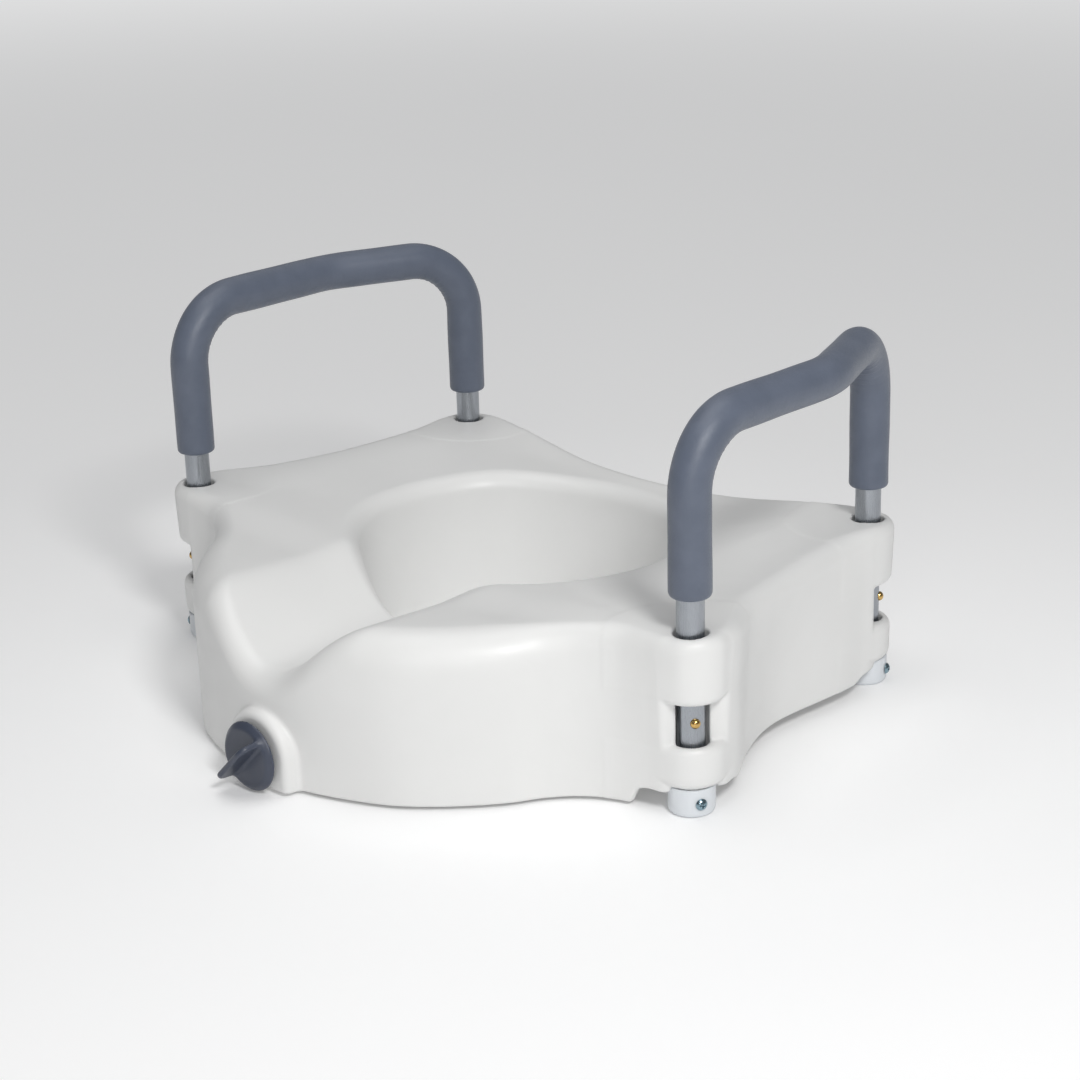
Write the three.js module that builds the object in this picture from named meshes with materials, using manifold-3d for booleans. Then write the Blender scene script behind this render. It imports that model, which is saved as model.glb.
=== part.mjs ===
// Raised toilet seat with two removable padded arms and a front clamp knob.
// Millimetres, +Z up, the user faces -Y. The origin ends up at the middle of the base.
import * as THREE from 'three';
import { mergeVertices } from 'three/addons/utils/BufferGeometryUtils.js';
import Module from 'manifold-3d';

const wasm = await Module();
wasm.setup();

// ---- driving dimensions -------------------------------------------------------------------
const GAP = 0.3;                                  // clearance between touching pieces
const TUBE_R = 9.5;                               // 19 mm arm tube
const TUBE_BORE_R = 8;
const LEG = { front: { x: 252, y: -128 }, rear: { x: 207.5, y: 128 } };
const ARM_TOP_Z = 268.5;                          // centreline of the hand bar
const ARM_BEND_R = 47;
const KINK = { x: 252, y: 18, r: 80 };            // where the hand bar turns inwards
const LEG_FOOT_Z = 17;
const GRIP_R = 14.5;
const GRIP_END_Z = 153.5;

const DECK_Z = 128.5;                             // top of the seat at the leg holes
const SKIN = 3.6;                                 // blow-moulded wall
const SKIRT_T = 6;                                // doubled wall of the outer skirt
const SKIRT_Z = 2.5;                              // front skirt's lower edge
const SIDE_EDGE_Z = 10.5;                         // side and back lower edge
const COLUMN_Z = 16;                              // underside of each leg column
const COLUMN_STEP = { z: 21, out: 6 };            // its round collar ends higher, outboard of the leg
const RIM_PLANE_Z = 31;                           // underside face that lies on the bowl rim
const COLLAR_Z = 3;                               // lower edge of the splash collar
const COLLAR_T = 4.5;

const OPENING = { y: -27, a: 130, b: 123 };       // middle line of the opening's rolled rim
const THROAT = { a: 109, b: 105 };                // opening at the bottom
const ROLL_R = 13;
const TROUGH = { halfWidth: 70, flat: 16, z: 82.5, rollR: 6 };

const CORNER = { r: 27, setIn: 7.5, near: 38 };   // column outline, centred inboard of the leg
const SOCKET_R = 12;
const FACING = { front: 57, rear: 130 };          // window direction, degrees from -Y towards +X
const SCREW_FACING = { front: 63, rear: 110 };
const WINDOW = { low: 50.5, high: 80.5, plane: 4, halfWidth: 29 };
const BUTTON = { z: 66.5, r: 3.5, reach: 12.8, travel: 3.2 };

const CAP = { r: 16.2, floor: 3, top: 20.2, plugTop: 16.2, grooveOut: 13.9 };
const NECK_R = 13.6;
const SCREW = { z: 10.5, r: 1.75, headR: 4.4, headH: 2.4, length: 11 };

const KNOB = { y: -298.6, z: 25.6, r: 25.5, rim: 0.8, bevel: 4.2, hubR: 10, socket: 3.3, turn: 45 };
const WING = { root: 22.5, tip: 20.5, rise: 17, thick: 5, corner: 6, bevel: 1 };
const NOSE_BOSS = { r: 31.5, front: -294, back: -279, bevel: 5.5 };
const WORM = { r: 4, crest: 5, pitch: 6, end: -196 };
const CLAMP = { y: -236, thick: 9, halfWidth: 30, top: 47, lip: 10, lipT: 4, foot: 1 };
const CLAMP_BAY = { halfWidth: 36, front: -276, back: -158, top: 53 };
const CLAMP_RIB = { x: 18, halfT: 2, depth: 12 };
const NUT = { across: 9.5, thick: 6.5 };
const LUG = { x: 42, halfWidth: 18, front: 62, back: 94, low: 1, high: 5.5 };
const VENT = { x: 155, y: -30, r: 6, depth: 12 };
const SPRING = { t: 0.8, width: 6, drop: 34, near: 6.3, far: 6.6 };

// ---- materials ----------------------------------------------------------------------------
const paint = (color, roughness, metalness = 0) =>
  new THREE.MeshStandardMaterial({ color, roughness, metalness });
const whitePlastic = () => paint(0xecebe9, 0.45);
const capPlastic = () => paint(0xe6e9ed, 0.4);
const foam = () => paint(0x5d6471, 0.75);
const knobPlastic = () => paint(0x474d59, 0.6);
const aluminium = () => paint(0xb4b8bd, 0.35, 1);
const brass = () => paint(0xb98a3d, 0.3, 1);
const springSteel = () => paint(0x8b8f94, 0.35, 1);
const zinc = () => paint(0xa9b7bf, 0.3, 1);

// ---- solid helpers ------------------------------------------------------------------------
function toManifold(geometry) {
  const g = geometry.clone();
  for (const name of ['normal', 'uv', 'uv1', 'uv2']) g.deleteAttribute(name);
  const merged = mergeVertices(g, 1e-4);
  const triVerts = new Uint32Array(merged.index.array);
  const vertProperties = new Float32Array(merged.attributes.position.array);
  return new wasm.Manifold(new wasm.Mesh({ numProp: 3, vertProperties, triVerts }));
}

function toGeometry(solid) {
  const mesh = solid.getMesh();
  const g = new THREE.BufferGeometry();
  g.setAttribute('position', new THREE.BufferAttribute(mesh.vertProperties, 3));
  g.setIndex(new THREE.BufferAttribute(mesh.triVerts, 1));
  return g;
}

// Closed surface through rings of points: round each ring, and from the last ring to the first.
function skinOf(rings) {
  const per = rings[0].length;
  const positions = rings.flat().flatMap((p) => [p.x, p.y, p.z]);
  const index = [];
  rings.forEach((_, i) => {
    const next = (i + 1) % rings.length;
    for (let j = 0; j < per; j++) {
      const k = (j + 1) % per;
      const [a, b, c, d] = [i * per + j, next * per + j, next * per + k, i * per + k];
      index.push(a, b, c, a, c, d);
    }
  });
  const g = new THREE.BufferGeometry();
  g.setAttribute('position', new THREE.Float32BufferAttribute(positions, 3));
  g.setIndex(index);
  return facingOut(g);
}

// Turns every triangle round when the closed surface encloses a negative volume.
function facingOut(g) {
  const p = g.attributes.position;
  const [a, b, c] = [new THREE.Vector3(), new THREE.Vector3(), new THREE.Vector3()];
  const index = g.index.array;
  let volume = 0;
  for (let i = 0; i < index.length; i += 3) {
    a.fromBufferAttribute(p, index[i]);
    b.fromBufferAttribute(p, index[i + 1]);
    c.fromBufferAttribute(p, index[i + 2]);
    volume += a.dot(b.cross(c));
  }
  if (volume < 0) {
    for (let i = 0; i < index.length; i += 3) {
      [index[i + 1], index[i + 2]] = [index[i + 2], index[i + 1]];
    }
  }
  return g;
}

// Upright cylinder between two heights.
function post(r, x, y, low, high, segments = 24) {
  const g = new THREE.CylinderGeometry(r, r, high - low, segments);
  g.rotateX(Math.PI / 2);
  g.translate(x, y, (low + high) / 2);
  return g;
}

// Cylinder that runs outwards from the leg axis at a given facing.
function spoke(r, leg, side, facing, z, from, to, segments = 16) {
  const g = new THREE.CylinderGeometry(r, r, to - from, segments);
  g.rotateX(Math.PI / 2);
  return onSpoke(g.translate(0, 0, (from + to) / 2), leg, side, facing, z);
}

// Places geometry whose own +Z is the outward direction on a leg.
function onSpoke(g, leg, side, facing, z) {
  g.rotateX(Math.PI / 2);
  g.rotateZ(THREE.MathUtils.degToRad(facing) * side);
  return g.translate(leg.x * side, leg.y, z);
}

// Extrusion whose bevel stays inside the drawn shape.
function bevelled(shape, depth, bevel, bevelSegments) {
  return new THREE.ExtrudeGeometry(shape, {
    depth,
    bevelEnabled: true,
    bevelThickness: bevel,
    bevelSize: bevel,
    bevelOffset: -bevel,
    bevelSegments,
    curveSegments: 4 * bevelSegments + 2,
  });
}

function box(x0, x1, y0, y1, z0, z1) {
  const g = new THREE.BoxGeometry(x1 - x0, y1 - y0, z1 - z0);
  return g.translate((x0 + x1) / 2, (y0 + y1) / 2, (z0 + z1) / 2);
}

// Surface of revolution about Z from [radius, height] pairs.
function turned(profile, segments) {
  const points = profile.map(([r, z]) => new THREE.Vector2(r, z));
  const g = new THREE.LatheGeometry(points, segments);
  return g.rotateX(Math.PI / 2);
}

const smooth = (low, high, v) => THREE.MathUtils.smoothstep(v, low, high);
const bump = (v, middle, width) => Math.exp(-(((v - middle) / width) ** 2));

// ---- seat shell ---------------------------------------------------------------------------
const LEGS = [];
for (const end of ['front', 'rear']) {
  for (const side of [-1, 1]) {
    LEGS.push({ end, side, name: `${side < 0 ? 'left' : 'right'}_${end}`, ...LEG[end] });
  }
}

const columnCentre = (end) => ({
  x: LEG[end].x - CORNER.setIn / Math.SQRT2,
  y: LEG[end].y - (Math.sign(LEG[end].y) * CORNER.setIn) / Math.SQRT2,
});

function arcPoints(end, degrees) {
  const c = columnCentre(end);
  return degrees.map((d) => {
    const a = THREE.MathUtils.degToRad(d);
    return [c.x + CORNER.r * Math.cos(a), c.y + CORNER.r * Math.sin(a)];
  });
}

// Right half of the seat's plan outline, from the middle of the nose to the middle of the back.
function halfOutline() {
  return [
    [0, -286], [34, -283], [66, -274], [101, -258.5], [131, -234.5], [156, -207],
    [172, -182], [188, -166], [208, -155], [230, -151],
    ...arcPoints('front', [-90, -60, -30, 0, 25]),
    [266, -94], [250, -60], [240, -20], [233.5, 20], [229, 60], [228, 95],
    ...arcPoints('rear', [0, 30, 60, 90]),
    [180, 149], [150, 147], [110, 141], [70, 134.5], [35, 130.5], [0, 129],
  ];
}

// 1 on a leg's axis, falling to 0 outside its column.
function nearLeg(x, y) {
  const share = Object.values(LEG).map((leg) => {
    const away = Math.hypot(Math.abs(x) - leg.x, y - leg.y);
    return Math.exp(-((away / CORNER.near) ** 4));
  });
  return Math.max(...share);
}

// Plan points round the seat, closer together at the nose and the columns.
function stations(fine, coarse) {
  const half = halfOutline();
  const mirrored = half.slice(1, -1).reverse().map(([x, y]) => [-x, y]);
  const curve = new THREE.CatmullRomCurve3(
    [...half, ...mirrored].map(([x, y]) => new THREE.Vector3(x, y, 0)), true, 'centripetal');
  const dense = curve.getSpacedPoints(1600).filter((p) => p.x > 0);
  const turn = (p) => Math.atan2(p.x, OPENING.y - p.y);
  dense.sort((p, q) => turn(p) - turn(q));
  const reach = [0];
  for (let i = 1; i < dense.length; i++) {
    const p = dense[i];
    const close = Math.max(nearLeg(p.x, p.y), p.y < -200 ? bump(p.x, 0, 90) : 0);
    const step = THREE.MathUtils.lerp(coarse, fine, close);
    reach.push(reach[i - 1] + p.distanceTo(dense[i - 1]) / step);
  }
  const count = Math.round(reach[reach.length - 1]);
  const right = [];
  for (let k = 0, i = 0; k <= count; k++) {
    const at = (k / count) * reach[reach.length - 1];
    while (i < reach.length - 2 && reach[i + 1] < at) i++;
    right.push(dense[i].clone().lerp(dense[i + 1], (at - reach[i]) / (reach[i + 1] - reach[i])));
  }
  right[0].x = 0;
  right[count].x = 0;
  const left = right.slice(1, -1).reverse().map((p) => new THREE.Vector3(-p.x, p.y, 0));
  const all = [...right, ...left];
  return all.map((p, i) => {
    const before = all[(i - 1 + all.length) % all.length];
    const after = all[(i + 1) % all.length];
    const along = after.clone().sub(before).normalize();
    return { p, inward: new THREE.Vector3(-along.y, along.x, 0) };
  });
}

// Height of the seat's outer crest at a plan point.
function crestHeight(x, y) {
  const front = 4 * smooth(128, 180, -y);
  const side = 1 * smooth(60, 128, 128 - Math.abs(y));
  const back = 11 * smooth(40, 110, y) * bump(x, 0, 115);
  return DECK_Z - front - side - back;
}

// Share of the trough at a plan point, 1 along its middle.
function troughShare(x, y) {
  if (y > OPENING.y) return 0;
  return 1 - smooth(TROUGH.flat, TROUGH.halfWidth, Math.abs(x));
}

// Radius of the deck's outer shoulder: tight at the legs, full beside the trough.
function shoulderRadius(x, y) {
  return 13 - 6 * nearLeg(x, y) + 9 * smooth(45, 95, Math.abs(x)) * smooth(150, 200, -y);
}

// Height of the deck, falling inwards from the crest and dropping into the trough.
function deckHeight(x, y, across) {
  const fall = 7 - 5 * smooth(40, 110, y);
  const deck = crestHeight(x, y) - fall * across;
  return THREE.MathUtils.lerp(deck, TROUGH.z, troughShare(x, y));
}

// Height of the outer wall's lower edge: deep skirt in front, higher at the sides and legs.
function lowerEdge(x, y) {
  const skirtEnd = smooth(216, 224, Math.abs(x) + Math.max(0, y + 140) * 2);
  const side = THREE.MathUtils.lerp(SKIRT_Z, SIDE_EDGE_Z + 3, skirtEnd);
  const settled = THREE.MathUtils.lerp(side, SIDE_EDGE_Z, smooth(-105, -60, y));
  return THREE.MathUtils.lerp(settled, COLUMN_Z, smooth(0.25, 0.8, nearLeg(x, y)));
}

// How far the lower edge stands inboard of the upper outline.
function draft(x, y) {
  const side = Math.abs(x) > 190 ? 13 * bump(y, -8, 58) : 0;
  return 0.5 + side + 2.2 * nearLeg(x, y) + 3 * smooth(60, 128, y) * (1 - nearLeg(x, y));
}

function ellipsePoint(p, a, b) {
  const dx = p.x;
  const dy = p.y - OPENING.y;
  const k = 1 / Math.hypot(dx / a, dy / b);
  return new THREE.Vector3(dx * k, OPENING.y + dy * k, 0);
}

// Closed cross-section of the seat at one station, set in by `skin` on every side.
function section({ p, inward }, skin, bottom, arcs) {
  const share = troughShare(p.x, p.y);
  const shoulder = Math.max(shoulderRadius(p.x, p.y) - skin, 3);
  const rollR = Math.max(THREE.MathUtils.lerp(ROLL_R, TROUGH.rollR, share) - skin, 2);
  const outer = p.clone().addScaledVector(inward, skin);
  const foot = p.clone().addScaledVector(inward, skin + draft(p.x, p.y));
  const deckEdge = outer.clone().addScaledVector(inward, shoulder);
  const rim = ellipsePoint(p, OPENING.a + skin, OPENING.b + skin);
  const throat = ellipsePoint(p, THROAT.a + skin, THROAT.b + skin);
  const toCentre = new THREE.Vector3(0, OPENING.y, 0).sub(rim).normalize();
  const rollStart = rim.clone().addScaledVector(toCentre, -rollR / 2);
  const at = (v, z) => new THREE.Vector3(v.x, v.y, z);
  const points = [];
  const wallTop = deckHeight(outer.x, outer.y, 0) - skin - shoulder;
  const edge = bottom === null ? lowerEdge(p.x, p.y) : bottom;
  points.push(at(foot, edge));
  points.push(at(foot.clone().lerp(outer, 0.35), THREE.MathUtils.lerp(edge, wallTop, 0.5)));
  for (let i = 0; i <= arcs; i++) {
    const a = (i / arcs) * (Math.PI / 2);
    const v = outer.clone().lerp(deckEdge, 1 - Math.cos(a));
    points.push(at(v, deckHeight(v.x, v.y, 0) - skin - shoulder * (1 - Math.sin(a))));
  }
  for (const t of [0.35, 0.7]) {
    const v = deckEdge.clone().lerp(rollStart, t);
    points.push(at(v, deckHeight(v.x, v.y, t) - skin));
  }
  for (let i = 0; i <= arcs; i++) {
    const a = (i / arcs) * 1.25;
    const v = rollStart.clone().addScaledVector(toCentre, rollR * Math.sin(a));
    points.push(at(v, deckHeight(v.x, v.y, 1) - skin - rollR * (1 - Math.cos(a))));
  }
  const rollEnd = points[points.length - 1];
  const low = bottom === null ? COLLAR_Z : bottom;
  points.push(at(throat.lerp(rollEnd, (low - COLLAR_Z) / (rollEnd.z - COLLAR_Z)), low));
  if (bottom === null) {
    points.push(at(ellipsePoint(p, THROAT.a + COLLAR_T + 4, THROAT.b + COLLAR_T + 4), COLLAR_Z));
    points.push(at(foot.clone().addScaledVector(inward, SKIRT_T + 1), edge));
  }
  return points;
}

// Space under the seat that drops over the bowl rim.
function bowlRecess(around) {
  return skinOf(around.map(({ p, inward }) => {
    const wall = p.clone().addScaledVector(inward, SKIRT_T + draft(p.x, p.y));
    const collar = ellipsePoint(p, THROAT.a + COLLAR_T, THROAT.b + COLLAR_T);
    const collarRoot = ellipsePoint(p, THROAT.a + 2 * COLLAR_T, THROAT.b + 2 * COLLAR_T);
    return [
      new THREE.Vector3(wall.x, wall.y, -1),
      new THREE.Vector3(wall.x, wall.y, RIM_PLANE_Z),
      new THREE.Vector3(collarRoot.x, collarRoot.y, RIM_PLANE_Z),
      new THREE.Vector3(collar.x, collar.y, -1),
    ];
  }));
}

// Arch-shaped pad on the nose that the clamp knob bears on.
function archBoss() {
  const shape = new THREE.Shape();
  shape.moveTo(-NOSE_BOSS.r, SKIRT_Z);
  shape.lineTo(NOSE_BOSS.r, SKIRT_Z);
  shape.lineTo(NOSE_BOSS.r, KNOB.z);
  shape.absarc(0, KNOB.z, NOSE_BOSS.r, 0, Math.PI, false);
  const g = bevelled(shape, NOSE_BOSS.back - NOSE_BOSS.front - NOSE_BOSS.bevel, NOSE_BOSS.bevel, 3);
  g.rotateX(Math.PI / 2);
  return g.translate(0, NOSE_BOSS.back, 0);
}

// Block outboard of a leg, from a plane beyond its axis and between two heights.
function outboardBlock({ x, y, end, side }, plane, low, high) {
  const reach = 40;
  const g = box(-WINDOW.halfWidth, WINDOW.halfWidth, -plane - reach, -plane, low, high);
  g.rotateZ(THREE.MathUtils.degToRad(FACING[end]) * side);
  return g.translate(x * side, y, 0);
}

// Leg column: solid core, stepped underside, and the neck that carries the cap.
function withColumn(body, leg) {
  const at = columnCentre(leg.end);
  const x = leg.x * leg.side;
  const core = post(CORNER.r - 2.8, at.x * leg.side, at.y, COLUMN_Z, DECK_Z - 5, 28);
  const capSpace = post(CAP.r + GAP, x, leg.y, -1, CAP.top + GAP, 28);
  const step = outboardBlock(leg, COLUMN_STEP.out, -1, COLUMN_STEP.z);
  const neck = post(NECK_R, x, leg.y, CAP.floor + GAP, COLUMN_STEP.z + 2, 24);
  return body.add(toManifold(core))
    .subtract(toManifold(capSpace))
    .subtract(toManifold(step))
    .add(toManifold(neck));
}

// Sockets, windows, screw holes, screw bore, throat, clamp bay and vents.
function seatCuts() {
  const { halfWidth, front, back, top } = CLAMP_BAY;
  const throat = turned([[0, -5], [1, -5], [1, 60], [0, 60]], 64);
  throat.scale(THROAT.a - 2, THROAT.b - 2, 1).translate(0, OPENING.y, 0);
  const bore = new THREE.CylinderGeometry(WORM.crest + GAP, WORM.crest + GAP, 40, 20);
  bore.translate(0, NOSE_BOSS.front + 18, KNOB.z);
  const cuts = [box(-halfWidth, halfWidth, front, back, -2, top), throat, bore];
  for (const leg of LEGS) {
    cuts.push(post(SOCKET_R, leg.x * leg.side, leg.y, 0, DECK_Z + 10, 24));
    cuts.push(outboardBlock(leg, WINDOW.plane, WINDOW.low, WINDOW.high));
    cuts.push(spoke(SCREW.r + GAP, leg, leg.side, SCREW_FACING[leg.end], SCREW.z, 9, 20, 12));
  }
  for (const side of [-1, 1]) {
    cuts.push(post(VENT.r, side * VENT.x, VENT.y, RIM_PLANE_Z - 3, RIM_PLANE_Z + VENT.depth, 16));
  }
  return cuts;
}

function seatShell() {
  const outside = stations(11, 30);
  const inside = stations(22, 44);
  let body = toManifold(skinOf(outside.map((s) => section(s, 0, null, 3))));
  body = body.subtract(toManifold(bowlRecess(inside)));
  const hollow = skinOf(inside.map((s) => section(s, SKIN, RIM_PLANE_Z + SKIN, 2)));
  body = body.subtract(toManifold(hollow)).add(toManifold(archBoss()));
  const { halfWidth, front, back, top } = CLAMP_BAY;
  const surround = box(-halfWidth - SKIN, halfWidth + SKIN, front - SKIN, back + SKIN,
    RIM_PLANE_Z - 4, top + SKIN);
  body = body.add(toManifold(surround));
  for (const side of [-1, 1]) {
    const middle = side * LUG.x;
    const lug = box(middle - LUG.halfWidth, middle + LUG.halfWidth, LUG.front, LUG.back, LUG.low, LUG.high);
    body = body.add(toManifold(lug));
  }
  for (const leg of LEGS) body = withColumn(body, leg);
  for (const cut of seatCuts()) body = body.subtract(toManifold(cut));
  return toGeometry(body);
}

// ---- arms ---------------------------------------------------------------------------------
function roundedPath(corners, radii, segments) {
  const path = [corners[0]];
  for (let i = 1; i < corners.length - 1; i++) {
    const before = corners[i - 1].clone().sub(corners[i]).normalize();
    const after = corners[i + 1].clone().sub(corners[i]).normalize();
    const half = before.angleTo(after) / 2;
    const r = radii[i - 1];
    const middle = before.clone().add(after).normalize();
    const centre = corners[i].clone().addScaledVector(middle, r / Math.sin(half));
    const start = corners[i].clone().addScaledVector(before, r / Math.tan(half)).sub(centre);
    const finish = corners[i].clone().addScaledVector(after, r / Math.tan(half)).sub(centre);
    const turn = start.angleTo(finish);
    const count = Math.max(2, Math.round((segments * turn) / (Math.PI / 2)));
    for (let k = 0; k <= count; k++) {
      const t = k / count;
      const a = start.clone().multiplyScalar(Math.sin((1 - t) * turn) / Math.sin(turn));
      const b = finish.clone().multiplyScalar(Math.sin(t * turn) / Math.sin(turn));
      path.push(a.add(b).add(centre));
    }
  }
  path.push(corners[corners.length - 1]);
  return path;
}

function armPath(side, footZ, segments) {
  const v = (x, y, z) => new THREE.Vector3(x * side, y, z);
  return roundedPath([
    v(LEG.front.x, LEG.front.y, footZ),
    v(LEG.front.x, LEG.front.y, ARM_TOP_Z),
    v(KINK.x, KINK.y, ARM_TOP_Z),
    v(LEG.rear.x, LEG.rear.y, ARM_TOP_Z),
    v(LEG.rear.x, LEG.rear.y, footZ),
  ], [ARM_BEND_R, KINK.r, ARM_BEND_R], segments);
}

// Rings of a round section carried along a path without twist.
function ringsAlong(path, radiusAt, around) {
  let frame = new THREE.Vector3(1, 0, 0);
  return path.map((p, i) => {
    const back = path[Math.max(i - 1, 0)];
    const ahead = path[Math.min(i + 1, path.length - 1)];
    const along = ahead.clone().sub(back).normalize();
    frame = frame.clone().addScaledVector(along, -frame.dot(along)).normalize();
    const across = along.clone().cross(frame);
    const r = radiusAt(i);
    return Array.from({ length: around }, (_, k) => {
      const a = (k / around) * 2 * Math.PI;
      const out = frame.clone().multiplyScalar(Math.cos(a)).addScaledVector(across, Math.sin(a));
      return p.clone().addScaledVector(out, r);
    });
  });
}

function sleeve(path, outer, inner, around) {
  const out = ringsAlong(path, outer, around);
  const back = ringsAlong(path, inner, around).reverse();
  return skinOf([...out, ...back]);
}

function armTube(side) {
  const path = armPath(side, LEG_FOOT_Z, 5);
  let tube = toManifold(sleeve(path, () => TUBE_R, () => TUBE_BORE_R, 16));
  for (const leg of LEGS.filter((l) => l.side === side)) {
    const hole = spoke(BUTTON.r + GAP, leg, side, FACING[leg.end], BUTTON.z, 4, 14, 12);
    tube = tube.subtract(toManifold(hole));
  }
  return toGeometry(tube);
}

function foamGrip(side) {
  const path = armPath(side, GRIP_END_Z, 5);
  const last = path.length - 1;
  const down = new THREE.Vector3(0, 0, 3);
  path.splice(1, 0, path[0].clone().add(down));
  path.splice(last + 1, 0, path[last + 1].clone().add(down));
  const ends = (i) => (i === 0 || i === path.length - 1 ? GRIP_R - 2.4 : GRIP_R);
  return sleeve(path, ends, () => TUBE_R + GAP, 16);
}

// ---- small hardware -----------------------------------------------------------------------
function snapButton(leg) {
  const { r, reach } = BUTTON;
  const g = turned([
    [0, 6.6], [r, 6.6], [r, reach - 2.2],
    [r * 0.78, reach - 0.8], [r * 0.4, reach - 0.1], [0, reach],
  ], 14);
  return onSpoke(g, leg, leg.side, FACING[leg.end], BUTTON.z);
}

// Folded strip inside the leg: one leaf carries the button, the other bears on the far wall.
function buttonSpring(leg) {
  const { t, width, drop, near, far } = SPRING;
  const elbow = 8;
  const lip = 6;
  const shape = new THREE.Shape();
  shape.moveTo(near, lip);
  shape.lineTo(near - t, lip);
  shape.lineTo(near - t, -elbow);
  shape.lineTo(-5.6 + t, -drop + 3);
  shape.lineTo(-far + t, -drop + 3);
  shape.lineTo(-far + t, 0);
  shape.lineTo(-far, 0);
  shape.lineTo(-far, -drop);
  shape.lineTo(-5.2, -drop);
  shape.lineTo(near, -elbow);
  const g = new THREE.ExtrudeGeometry(shape, { depth: width, bevelEnabled: false });
  g.translate(0, 0, -width / 2);
  g.rotateX(Math.PI / 2);
  g.rotateZ(THREE.MathUtils.degToRad(FACING[leg.end]) * leg.side - Math.PI / 2);
  return g.translate(leg.x * leg.side, leg.y, BUTTON.z);
}

// Cup over the column's neck, plugged into the socket from below.
function socketCap(leg) {
  const { r, floor, top, plugTop, grooveOut } = CAP;
  const plugR = SOCKET_R - GAP;
  const profile = [
    [0, 0], [r - 5, 0], [r - 1.6, 1.4], [r, 5], [r, top], [grooveOut, top],
    [grooveOut, floor], [plugR, floor], [plugR, plugTop], [0, plugTop],
  ];
  let cap = toManifold(turned(profile, 20));
  cap = cap.translate([leg.x * leg.side, leg.y, 0]);
  const facing = SCREW_FACING[leg.end];
  const hole = spoke(SCREW.r + GAP, leg, leg.side, facing, SCREW.z, CAP.r - SCREW.length, 20, 12);
  return toGeometry(cap.subtract(toManifold(hole)));
}

function capScrew(leg) {
  const { r, headR, headH, length } = SCREW;
  const seat = CAP.r + GAP;
  const tip = CAP.r - length + 1;
  const g = turned([
    [0, tip], [r, tip + 1.5], [r, seat], [headR, seat],
    [headR * 0.86, seat + headH * 0.6], [headR * 0.5, seat + headH * 0.93], [0, seat + headH],
  ], 14);
  return onSpoke(g, leg, leg.side, SCREW_FACING[leg.end], SCREW.z);
}

// ---- front clamp --------------------------------------------------------------------------
// Stands geometry whose own +Z is the screw direction on the knob's axis, pointing at the user.
function onKnobAxis(g, y) {
  g.rotateX(Math.PI / 2);
  return g.translate(0, y, KNOB.z);
}

function clampKnob() {
  const { r, rim, bevel, hubR, socket, turn } = KNOB;
  const face = rim + bevel;
  const hub = NOSE_BOSS.front - KNOB.y - GAP;
  const disc = turned([
    [0, -hub], [hubR, -hub], [hubR, 0], [r, 0], [r, rim], [r - bevel, face], [0, face],
  ], 40);
  const { root, tip, rise, thick, corner } = WING;
  const tab = new THREE.Shape();
  tab.moveTo(-root, 0);
  tab.lineTo(root, 0);
  tab.lineTo(tip, rise - corner);
  tab.quadraticCurveTo(tip, rise, tip - corner, rise);
  tab.lineTo(corner - tip, rise);
  tab.quadraticCurveTo(-tip, rise, -tip, rise - corner);
  const blade = bevelled(tab, thick - 2 * WING.bevel, WING.bevel, 1);
  blade.translate(0, 0, WING.bevel - thick / 2).rotateX(Math.PI / 2);
  blade.rotateZ(THREE.MathUtils.degToRad(turn)).translate(0, 0, face - 1);
  const bore = post(WORM.r + GAP, 0, 0, -hub - 1, socket, 16);
  const knob = toManifold(disc).add(toManifold(blade)).subtract(toManifold(bore));
  return onKnobAxis(toGeometry(knob), KNOB.y);
}

// Screw with raised thread crests along the length that the clamp travels on.
function wormScrew() {
  const { r, crest, pitch, end } = WORM;
  const head = KNOB.socket - GAP;
  const from = 26;
  const profile = [[0, -head], [r, -head], [r, from - 2]];
  const length = end - KNOB.y;
  for (let s = from; s < length - pitch; s += pitch) {
    profile.push([r, s], [crest - 0.2, s + pitch / 2]);
  }
  profile.push([r, length - 2], [r - 1.5, length], [0, length]);
  const g = turned(profile.reverse().map(([x, z]) => [x, -z]), 10);
  return onKnobAxis(g, KNOB.y);
}

// Push-on washer behind the nose wall that keeps the screw from pulling out.
function retainer() {
  const at = KNOB.y - CLAMP_BAY.front - GAP;
  const inner = WORM.r + GAP;
  const g = turned([[inner, at - 2], [9, at - 2], [9, at], [inner, at], [inner, at - 2]], 20);
  return onKnobAxis(g, KNOB.y);
}

function clampPlate() {
  const { y, thick, halfWidth, top, lip, lipT, foot } = CLAMP;
  let plate = toManifold(box(-halfWidth, halfWidth, y, y + thick, foot, top));
  plate = plate.add(toManifold(box(-halfWidth, halfWidth, y, y + thick + lip, foot, foot + lipT)));
  for (const side of [-1, 1]) {
    const { x, halfT, depth } = CLAMP_RIB;
    const rib = box(side * x - halfT, side * x + halfT, y - depth, y + 1, foot, top - 6);
    plate = plate.add(toManifold(rib));
  }
  plate = plate.subtract(toManifold(nutPocket(GAP)));
  const hole = new THREE.CylinderGeometry(WORM.crest + GAP, WORM.crest + GAP, 40, 20);
  plate = plate.subtract(toManifold(hole.translate(0, y + 10, KNOB.z)));
  return toGeometry(plate);
}

// Hexagonal body of the captive nut; as a pocket it is grown by a clearance and runs out behind.
function nutPocket(clearance) {
  const across = NUT.across + clearance;
  const runOut = clearance > 0 ? 10 : 0;
  const g = new THREE.CylinderGeometry(across, across, NUT.thick + runOut, 6);
  return g.translate(0, CLAMP.y + 2.75 + clearance - runOut / 2, KNOB.z);
}

function clampNut() {
  const bore = new THREE.CylinderGeometry(WORM.crest + 0.1, WORM.crest + 0.1, 30, 20);
  bore.translate(0, CLAMP.y, KNOB.z);
  return toGeometry(toManifold(nutPocket(0)).subtract(toManifold(bore)));
}

// ---- assembly -----------------------------------------------------------------------------
const seat = new THREE.Group();
seat.name = 'raised_toilet_seat';

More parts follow.
